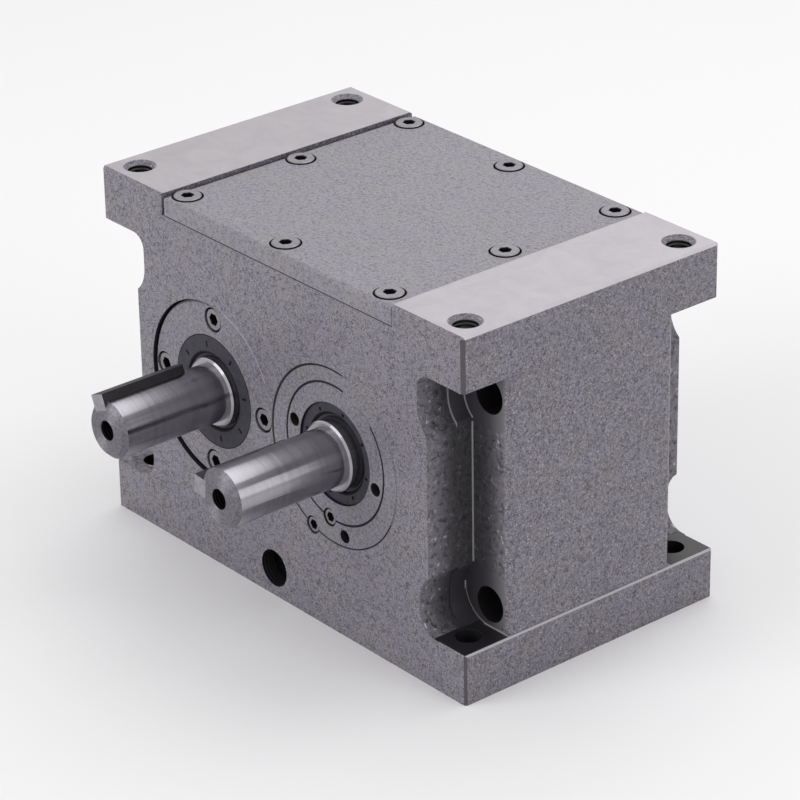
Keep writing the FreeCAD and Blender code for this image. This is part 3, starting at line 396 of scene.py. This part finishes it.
    # holes, the flange's recess and the sleeve's joint: unpainted and holding oil, with threads where cut;
    # their near black colour is painted shade
    ears = [fromAxis(tree, at["faceFold"], (halfX - c["earInset"], height))
            for height in (c["foot"] + c["earRise"], top - c["top"] - c["earDrop"])]
    earHoles = joined(tree, "MULTIPLY", within(tree, joined(tree, "MINIMUM", *ears), -1, c["earHole"] + 0.1),
                      within(tree, depth, c["pocketDeep"] + 0.1, far))
    footSpot = (halfX - c["footHoleInset"], halfY - c["footHoleInset"])
    footHoles = joined(tree, "MULTIPLY", within(tree, at["z"], 0.1, c["foot"] - 0.1),
                       within(tree, fromAxis(tree, at["planFold"], footSpot), -1, c["footHole"] + 0.1))
    padSpot = (halfX - c["padHoleInset"], halfY - c["padHoleInset"])
    padHoles = joined(tree, "MULTIPLY", within(tree, at["z"], top - c["top"] + 0.1, top - 0.1),
                      within(tree, fromAxis(tree, at["planFold"], padSpot), -1, c["padHole"] + 0.1))
    behindFace = within(tree, depth, 0.1, far)
    fromDrain = fromAxis(tree, at["faceOn"], axes["drain"])
    drainHole = joined(tree, "MULTIPLY", behindFace, within(tree, fromDrain, -1, c["drainHole"] + 0.1))
    recess = joined(tree, "MULTIPLY", behindFace, within(tree, fromOutput, -1, c["recess"] + 0.1))
    # painted shade: the joint's dark line is off centre, widest on the left, where its inner wall is seen in
    # shade
    offCentre = (axes["sleeve"][0] - f["jointShift"], axes["sleeve"][1])  # so it is widest on the left
    joint = within(tree, fromAxis(tree, at["faceOn"], offCentre), -1, f["sleeve"] + f["jointWide"])
    dark = joined(tree, "MAXIMUM", earHoles, footHoles, padHoles, drainHole, recess, joint)
    upThread = joined(tree, "MULTIPLY", padHoles, threadRelief(tree, at["z"], c["padPitch"], 0.4))
    inThread = joined(tree, "MULTIPLY", drainHole, threadRelief(tree, at["y"], c["drainPitch"], 0.08))
    threads = addNode(tree, "Math", {0: upThread, 1: inThread}, operation="ADD").outputs[0]
    finish = layOver(tree, finish, dict(flatFinish(b["hollowShadeHex"], 0.45), relief=threads), dark)
    dress(tree, shader, finish)
    return material


# The same enamel on the plate of the cover, laid on thinner and finer
def coverFinish(look, f, b):
    material, tree, shader, place = startMaterial("hammerEnamelOnCover")
    at = placesOf(tree, place)
    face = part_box("top_cover")[1].z / mm
    # painted shade: the screws' counterbores are near black
    sinks = joined(tree, "MULTIPLY", within(tree, coverSeats(tree, at), -1, f["coverSink"] + 0.1),
                   within(tree, at["z"], 0, face - 0.1))
    dress(tree, shader, layOver(tree, hammerEnamel(tree, place, look), flatFinish(b["hollowShadeHex"], 0.5), sinks))
    return material


# Turned steel rings under the enamel. All that lies below their faces, such as rims, joints and holes, is
# bare and holds oil;
# its near black colour is painted shade
def ringFinish(look, f, b):
    material, tree, shader, place = startMaterial("hammerEnamelOnTurnedSteel")
    at = placesOf(tree, place)
    finish = hammerEnamel(tree, place, look)
    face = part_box("housing")[1].y / mm
    sleeves = joined(tree, "MULTIPLY", within(tree, at["x"], f["between"], far),
                     within(tree, at["sidewards"], 0, face - 0.12))
    flanges = joined(tree, "MULTIPLY", within(tree, at["x"], -far, f["between"]),
                     within(tree, at["sidewards"], 0, face - f["flangeDrop"] - f["flangeChamfer"] - 0.05))
    sleeves = addNode(tree, "Math", {0: sleeves, 1: shadeLeftOut(tree, at, f, unshadedJoints)},
                      operation="SUBTRACT", use_clamp=True)
    rims = joined(tree, "MAXIMUM", sleeves.outputs[0], flanges)
    dress(tree, shader, layOver(tree, finish, flatFinish(b["hollowShadeHex"], 0.8), rims))
    return material


# Cylindrically ground steel: the grinding rings draw each highlight out into a band along the shaft. They are
# drawn coarser than the real hundredths of a millimetre, so that they show as a faint veil
def shaftFinish(look, f, b):
    material, tree, shader, place = startMaterial("groundShaftSteel")
    at = placesOf(tree, place)
    stretched = addNode(tree, "Mapping", {"Vector": place, "Scale": (0.02, 1.0, 0.02)}).outputs[0]
    rings, tone = uneven(tree, stretched, look["ring"], 3.0, ((0.35, look["dark"]), (0.65, look["pale"])))
    rough = addNode(tree, "MapRange", {"Value": rings, "To Min": look["rough"] - 0.03,
                                       "To Max": look["rough"] + 0.03}).outputs[0]
    relief = addNode(tree, "Math", {0: rings, 1: look["depth"]}, operation="MULTIPLY").outputs[0]
    finish = dict(colour=tone, rough=rough, metal=1.0, relief=relief)

    # the ends are turned dull, and the threaded hole in their middle holds oil; its near black colour is
    # painted shade
    normal = addNode(tree, "TexCoord").outputs["Normal"]
    facing = addNode(tree, "SeparateXYZ", {"Vector": normal}).outputs["Y"]
    turned = addNode(tree, "Math", {0: facing, 1: -0.6}, operation="LESS_THAN").outputs[0]
    bore = fromShafts(tree, at)
    turned = joined(tree, "MULTIPLY", turned, within(tree, bore, -1, f["shaft"] + 0.1))
    stops = ((0.35, look["endDark"]), (0.65, look["endPale"]))
    endTone = uneven(tree, place, look["endGrain"], 3.0, stops)[1]
    finish = layOver(tree, finish, dict(colour=endTone, rough=0.5, metal=0.8, relief=0.0), turned)
    hole = within(tree, bore, -1, f["shaftHole"] + 0.1)
    threads = threadRelief(tree, at["y"], f["shaftPitch"], 0.15)
    oiledInShade = dict(flatFinish(b["hollowShadeHex"], 0.3, 0.6), relief=threads)
    dress(tree, shader, layOver(tree, finish, oiledInShade, hole))
    shader.inputs["Specular IOR Level"].default_value = 0.1
    shader.inputs["Anisotropic"].default_value = look["drawnOut"]
    shader.inputs["Anisotropic Rotation"].default_value = 0.25
    around = addNode(tree, "Tangent", direction_type="RADIAL", axis="Y").outputs[0]
    tree.links.new(around, shader.inputs["Tangent"])
    return material


# Drawn key steel: the sides coloured dark, the ends cut bright
def keyFinish(look):
    material, tree, shader, place = startMaterial("drawnKeySteel")
    mottle, side = uneven(tree, place, look["mottle"], 5.0, ((0.3, look["dark"]), (0.7, look["mid"])))
    stops = ((0.3, look["cut"]), (0.7, look["pale"]))
    cut = addNode(tree, "ValToRGB", {"Fac": mottle}, stops=stops).outputs[0]
    normal = addNode(tree, "TexCoord").outputs["Normal"]
    alongY = addNode(tree, "SeparateXYZ", {"Vector": normal}).outputs["Y"]
    alongY = addNode(tree, "Math", {0: alongY}, operation="ABSOLUTE").outputs[0]
    ends = addNode(tree, "Math", {0: alongY, 1: 0.7}, operation="GREATER_THAN").outputs[0]
    sides = dict(colour=side, rough=0.6, metal=0.0, relief=0.0)
    dress(tree, shader, layOver(tree, sides, dict(colour=cut, rough=0.45, metal=1.0, relief=0.0), ends))
    shader.inputs["Specular IOR Level"].default_value = 0.2
    return material


# Plain metal parts: plated, polished, hardened or phosphated, with a faint mottle from handling
def plainMetal(name, look):
    material, tree, shader, place = startMaterial(name)
    mottle, tone = uneven(tree, place, look["mottle"], 5.0, ((0.3, look["dark"]), (0.7, look["pale"])))
    rough = addNode(tree, "MapRange", {"Value": mottle, "To Min": look["rough"] - 0.06,
                                       "To Max": look["rough"] + 0.08}).outputs[0]
    dress(tree, shader, dict(colour=tone, rough=rough, metal=1.0, relief=0.0))
    return material


# Screws: zinc-plated heads, with painted shade in the sockets and in the gap round the head. Seats is the
# function that says how far a point is from the nearest head's middle
def screwFinish(name, look, b, seats):
    material, tree, shader, place = startMaterial(name)
    at = placesOf(tree, place)
    tone = uneven(tree, place, look["mottle"], 5.0, ((0.3, look["dark"]), (0.7, look["pale"])))[1]
    finish = dict(colour=tone, rough=look["rough"], metal=1.0, relief=0.0)
    middle = seats(tree, at)
    corner = look["socket"] / 2 / math.cos(math.pi / 6) + 0.05  # half the hexagon across its corners
    inside = joined(tree, "MULTIPLY", within(tree, middle, -1, corner),
                    within(tree, at[look["along"]], -far, look["low"]))
    dark = joined(tree, "MAXIMUM", inside, within(tree, middle, look["head"] - look["ring"], far))
    dress(tree, shader, layOver(tree, finish, flatFinish(b["hollowShadeHex"], 0.8), dark))
    shader.inputs["Specular IOR Level"].default_value = 0.1
    return material


# where the heads sit, in mm and degrees
seated = dict(gridX=64.5, gridY=59.5, gridShift=1.5, circle=33.0, turn=-2.0, sleeveLock=-112.0, nutLock=-98.0)


def coverSeats(tree, at):  # a grid of heads
    grid, shift = Vector((seated["gridX"], seated["gridY"], far)) * mm, (seated["gridShift"] * mm, 0, 0)
    shifted = addNode(tree, "VectorMath", {0: at["place"], 1: shift}, operation="ADD").outputs[0]
    folded = addNode(tree, "VectorMath", {0: shifted, 1: grid / 2, 2: -grid / 2}, operation="WRAP").outputs[0]
    flat = addNode(tree, "VectorMath", {0: folded, 1: (1, 1, 0)}, operation="MULTIPLY").outputs[0]
    return addNode(tree, "VectorMath", {0: flat}, operation="LENGTH").outputs["Value"]


def flangeSeats(tree, at):  # four heads on a circle
    centre = (axes["output"][0] * mm, 0, axes["output"][1] * mm)
    shifted = addNode(tree, "VectorMath", {0: at["faceOn"], 1: centre}, operation="SUBTRACT").outputs[0]
    turned = addNode(tree, "VectorRotate", {"Vector": shifted, "Angle": math.radians(seated["turn"])},
                     rotation_type="Y_AXIS").outputs[0]
    folded = addNode(tree, "VectorMath", {0: turned}, operation="ABSOLUTE").outputs[0]
    split = addNode(tree, "SeparateXYZ", {"Vector": folded}).outputs
    wide = joined(tree, "MAXIMUM", split["X"], split["Z"])
    narrow = joined(tree, "MINIMUM", split["X"], split["Z"])
    flat = addNode(tree, "CombineXYZ", {"X": wide, "Z": narrow}).outputs[0]
    return fromAxis(tree, flat, (seated["circle"], 0.0))


def lockSeats(tree, at):  # one at the sleeve's rim and one at the nut's, at the front and at the rear
    spots = []
    for axis, radius, angle in (("sleeve", fitted["sleeve"], seated["sleeveLock"]),
                                ("input", fitted["nut"], seated["nutLock"])):
        x, z = axes[axis]
        across, up = radius * math.cos(math.radians(angle)), radius * math.sin(math.radians(angle))
        spots += [fromAxis(tree, at["faceOn"], (x + side * across, z + up)) for side in (1, -1)]
    return joined(tree, "MINIMUM", *spots)


# Nitrile rubber, moulded: dull dark grey with a dusty bloom; near black painted shade at its edge and at the
# step to the lip
def sealFinish(look, f, b):
    material, tree, shader, place = startMaterial("mouldedNitrile")
    at = placesOf(tree, place)
    tone = uneven(tree, place, look["bloom"], 6.0, ((0.35, look["dark"]), (0.65, look["pale"])))[1]
    finish = dict(colour=tone, rough=0.55, metal=0.0, relief=0.0)
    radius = fromShafts(tree, at)
    outputEdge = joined(tree, "MULTIPLY", within(tree, radius, f["outputSeal"] - 0.45, far),
                        within(tree, at["x"], -far, f["between"]))
    inputEdge = joined(tree, "MULTIPLY", within(tree, radius, f["inputSeal"] - 0.45, far),
                       within(tree, at["x"], f["between"], far))
    step = within(tree, radius, f["sealFace"] - 0.9, f["sealFace"] + 0.5)
    lip = within(tree, radius, f["sealFace"] - 1.9, f["sealFace"] - 0.9)
    finish = layOver(tree, finish, flatFinish(look["lip"], 0.4), lip)
    finish = layOver(tree, finish, flatFinish(b["hollowShadeHex"], 0.6),
                     joined(tree, "MAXIMUM", step, outputEdge, inputEdge))
    dress(tree, shader, finish)
    shader.inputs["Specular IOR Level"].default_value = 0.15
    return material


# Gasket: pressed fibre sheet, matt and nearly black with oil
def gasketFinish(look):
    material, tree, shader, place = startMaterial("pressedGasketSheet")
    tone = uneven(tree, place, look["fibre"], 4.0, ((0.3, look["dark"]), (0.7, look["pale"])))[1]
    dress(tree, shader, dict(colour=tone, rough=0.8, metal=0.0, relief=0.0))
    return material


# ring, endGrain, mottle, bloom and fibre are the grain of each finish in mm
steel = dict(shaft=dict(dark="#9B989E", pale="#A3A0A6", rough=0.2, drawnOut=0.9, ring=1.4, depth=0.0001,
                        endDark="#6C6970", endPale="#858289", endGrain=1.2),
             key=dict(dark="#2C292C", mid="#363336", cut="#86838A", pale="#A09DA3", mottle=3.0),
             plated=dict(dark="#7B797E", pale="#8E8C91", rough=0.4, mottle=1.5),
             polished=dict(dark="#B4B3B6", pale="#C6C5C8", rough=0.18, mottle=6.0),
             hardened=dict(dark="#8A888C", pale="#A19FA3", rough=0.3, mottle=4.0),
             spring=dict(dark="#3B3A3D", pale="#4B4A4D", rough=0.5, mottle=2.0),
             blackened=dict(dark="#1B1A1D", pale="#2A292C", rough=0.45, mottle=2.0))
rubber = dict(dark="#37363E", pale="#414048", lip="#5E5D64", bloom=2.5)
fibreSheet = dict(dark="#1F1E21", pale="#2E2D31", fibre=0.8)

# heads: across the flats of the socket, the head's radius and the ring of painted shade at its edge, in mm.
# Low is where the socket's painted shade starts under the head's face
coverTop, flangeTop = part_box("cover_screws")[1].z / mm, -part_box("output_front_screws")[0].y / mm
lockTop = -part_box("lock_screws")[0].y / mm
coverScrew = dict(steel["plated"], socket=5.0, head=6.0, ring=0.2, along="z", low=coverTop - 0.4)
flangeScrew = dict(steel["plated"], socket=5.0, head=5.0, ring=0.45, along="sidewards", low=flangeTop - 0.4)
lockScrew = dict(steel["plated"], socket=4.0, head=4.0, ring=0.8, along="sidewards", low=lockTop - 0.2)

finishes = {
    "cast_housing": housingFinish(casting, fitted, bare),
    "cover_paint": coverFinish(enamel["cover"], fitted, bare),
    "painted_steel": ringFinish(enamel["turned"], fitted, bare),
    "ground_steel": shaftFinish(steel["shaft"], fitted, bare),
    "key_steel": keyFinish(steel["key"]),
    "screw_steel": plainMetal("zincPlatedSteel", steel["plated"]),
    "seal_rubber": sealFinish(rubber, fitted, bare),
    "gasket_sheet": gasketFinish(fibreSheet),
    "bearing_steel": plainMetal("polishedBearingSteel", steel["polished"]),
    "hardened_steel": plainMetal("groundHardenedSteel", steel["hardened"]),
    "spring_steel": plainMetal("phosphatedSpringSteel", steel["spring"]),
}
ownFinishes = {
    "cover_screws": screwFinish("zincPlatedCoverScrews", coverScrew, bare, coverSeats),
    "output_front_screws": screwFinish("zincPlatedFlangeScrews", flangeScrew, bare, flangeSeats),
    "lock_screws": screwFinish("zincPlatedLockScrews", lockScrew, bare, lockSeats),
    "drain_plug": plainMetal("blackOxideSteel", steel["blackened"]),
}
ownFinishes["output_rear_screws"] = ownFinishes["output_front_screws"]
for part in frame["record"]["subparts"]:
    finish = ownFinishes.get(part["node"], finishes[part["material_slot"]])
    mesh = nodeOf[part["node"]].data
    for i in range(len(mesh.materials)):
        mesh.materials[i] = finish
print("finishes made:", len(finishes) + len(ownFinishes))

# shallow marks moulded in the seals' faces, eight round each: bars on the output side, dots on the input
# side. They are thin near black pieces on the face, painted shade standing for the moulded notches
sealMarks = dict(
    outputSealMarks=dict(node="output_front_seal", axis="output", radius=20.9, turn=10.0, count=8, long=2.6,
                         wide=0.95, high=0.1, hex="#050506"),
    inputSealMarks=dict(node="input_front_seal", axis="input", radius=19.0, turn=31.0, count=8, long=1.5,
                        wide=1.3, high=0.1, hex="#050506"))


def makeSealMarks(name, m):
    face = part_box(m["node"])[0].y
    x, z = axes[m["axis"]]
    shape = bmesh.new()
    for i in range(m["count"]):
        angle = math.radians(m["turn"] + 360 / m["count"] * i)
        spot = Vector((x + m["radius"] * math.cos(angle), 0, z + m["radius"] * math.sin(angle))) * mm
        spot.y = face
        size = Matrix.Diagonal((m["long"] * mm, m["high"] * mm, m["wide"] * mm, 1))
        place = Matrix.Translation(spot) @ Matrix.Rotation(-angle, 4, "Y") @ size
        bmesh.ops.create_cube(shape, size=1.0, matrix=place)
    bmesh.ops.bevel(shape, geom=shape.edges, offset=0.03 * mm, segments=1, affect="EDGES")
    mesh = bpy.data.meshes.new(name)
    shape.to_mesh(mesh)
    shape.free()
    marks = bpy.data.objects.new(name, mesh)
    bpy.context.scene.collection.objects.link(marks)
    material, _, shader, _ = startMaterial(name + "NotchShade")
    shader.inputs["Base Color"].default_value = srgb(m["hex"])
    shader.inputs["Roughness"].default_value = 0.7
    shader.inputs["Specular IOR Level"].default_value = 0.1
    mesh.materials.append(material)
    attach(marks, "case")


for name, marks in sealMarks.items():
    makeSealMarks(name, marks)
print("seal marks made")
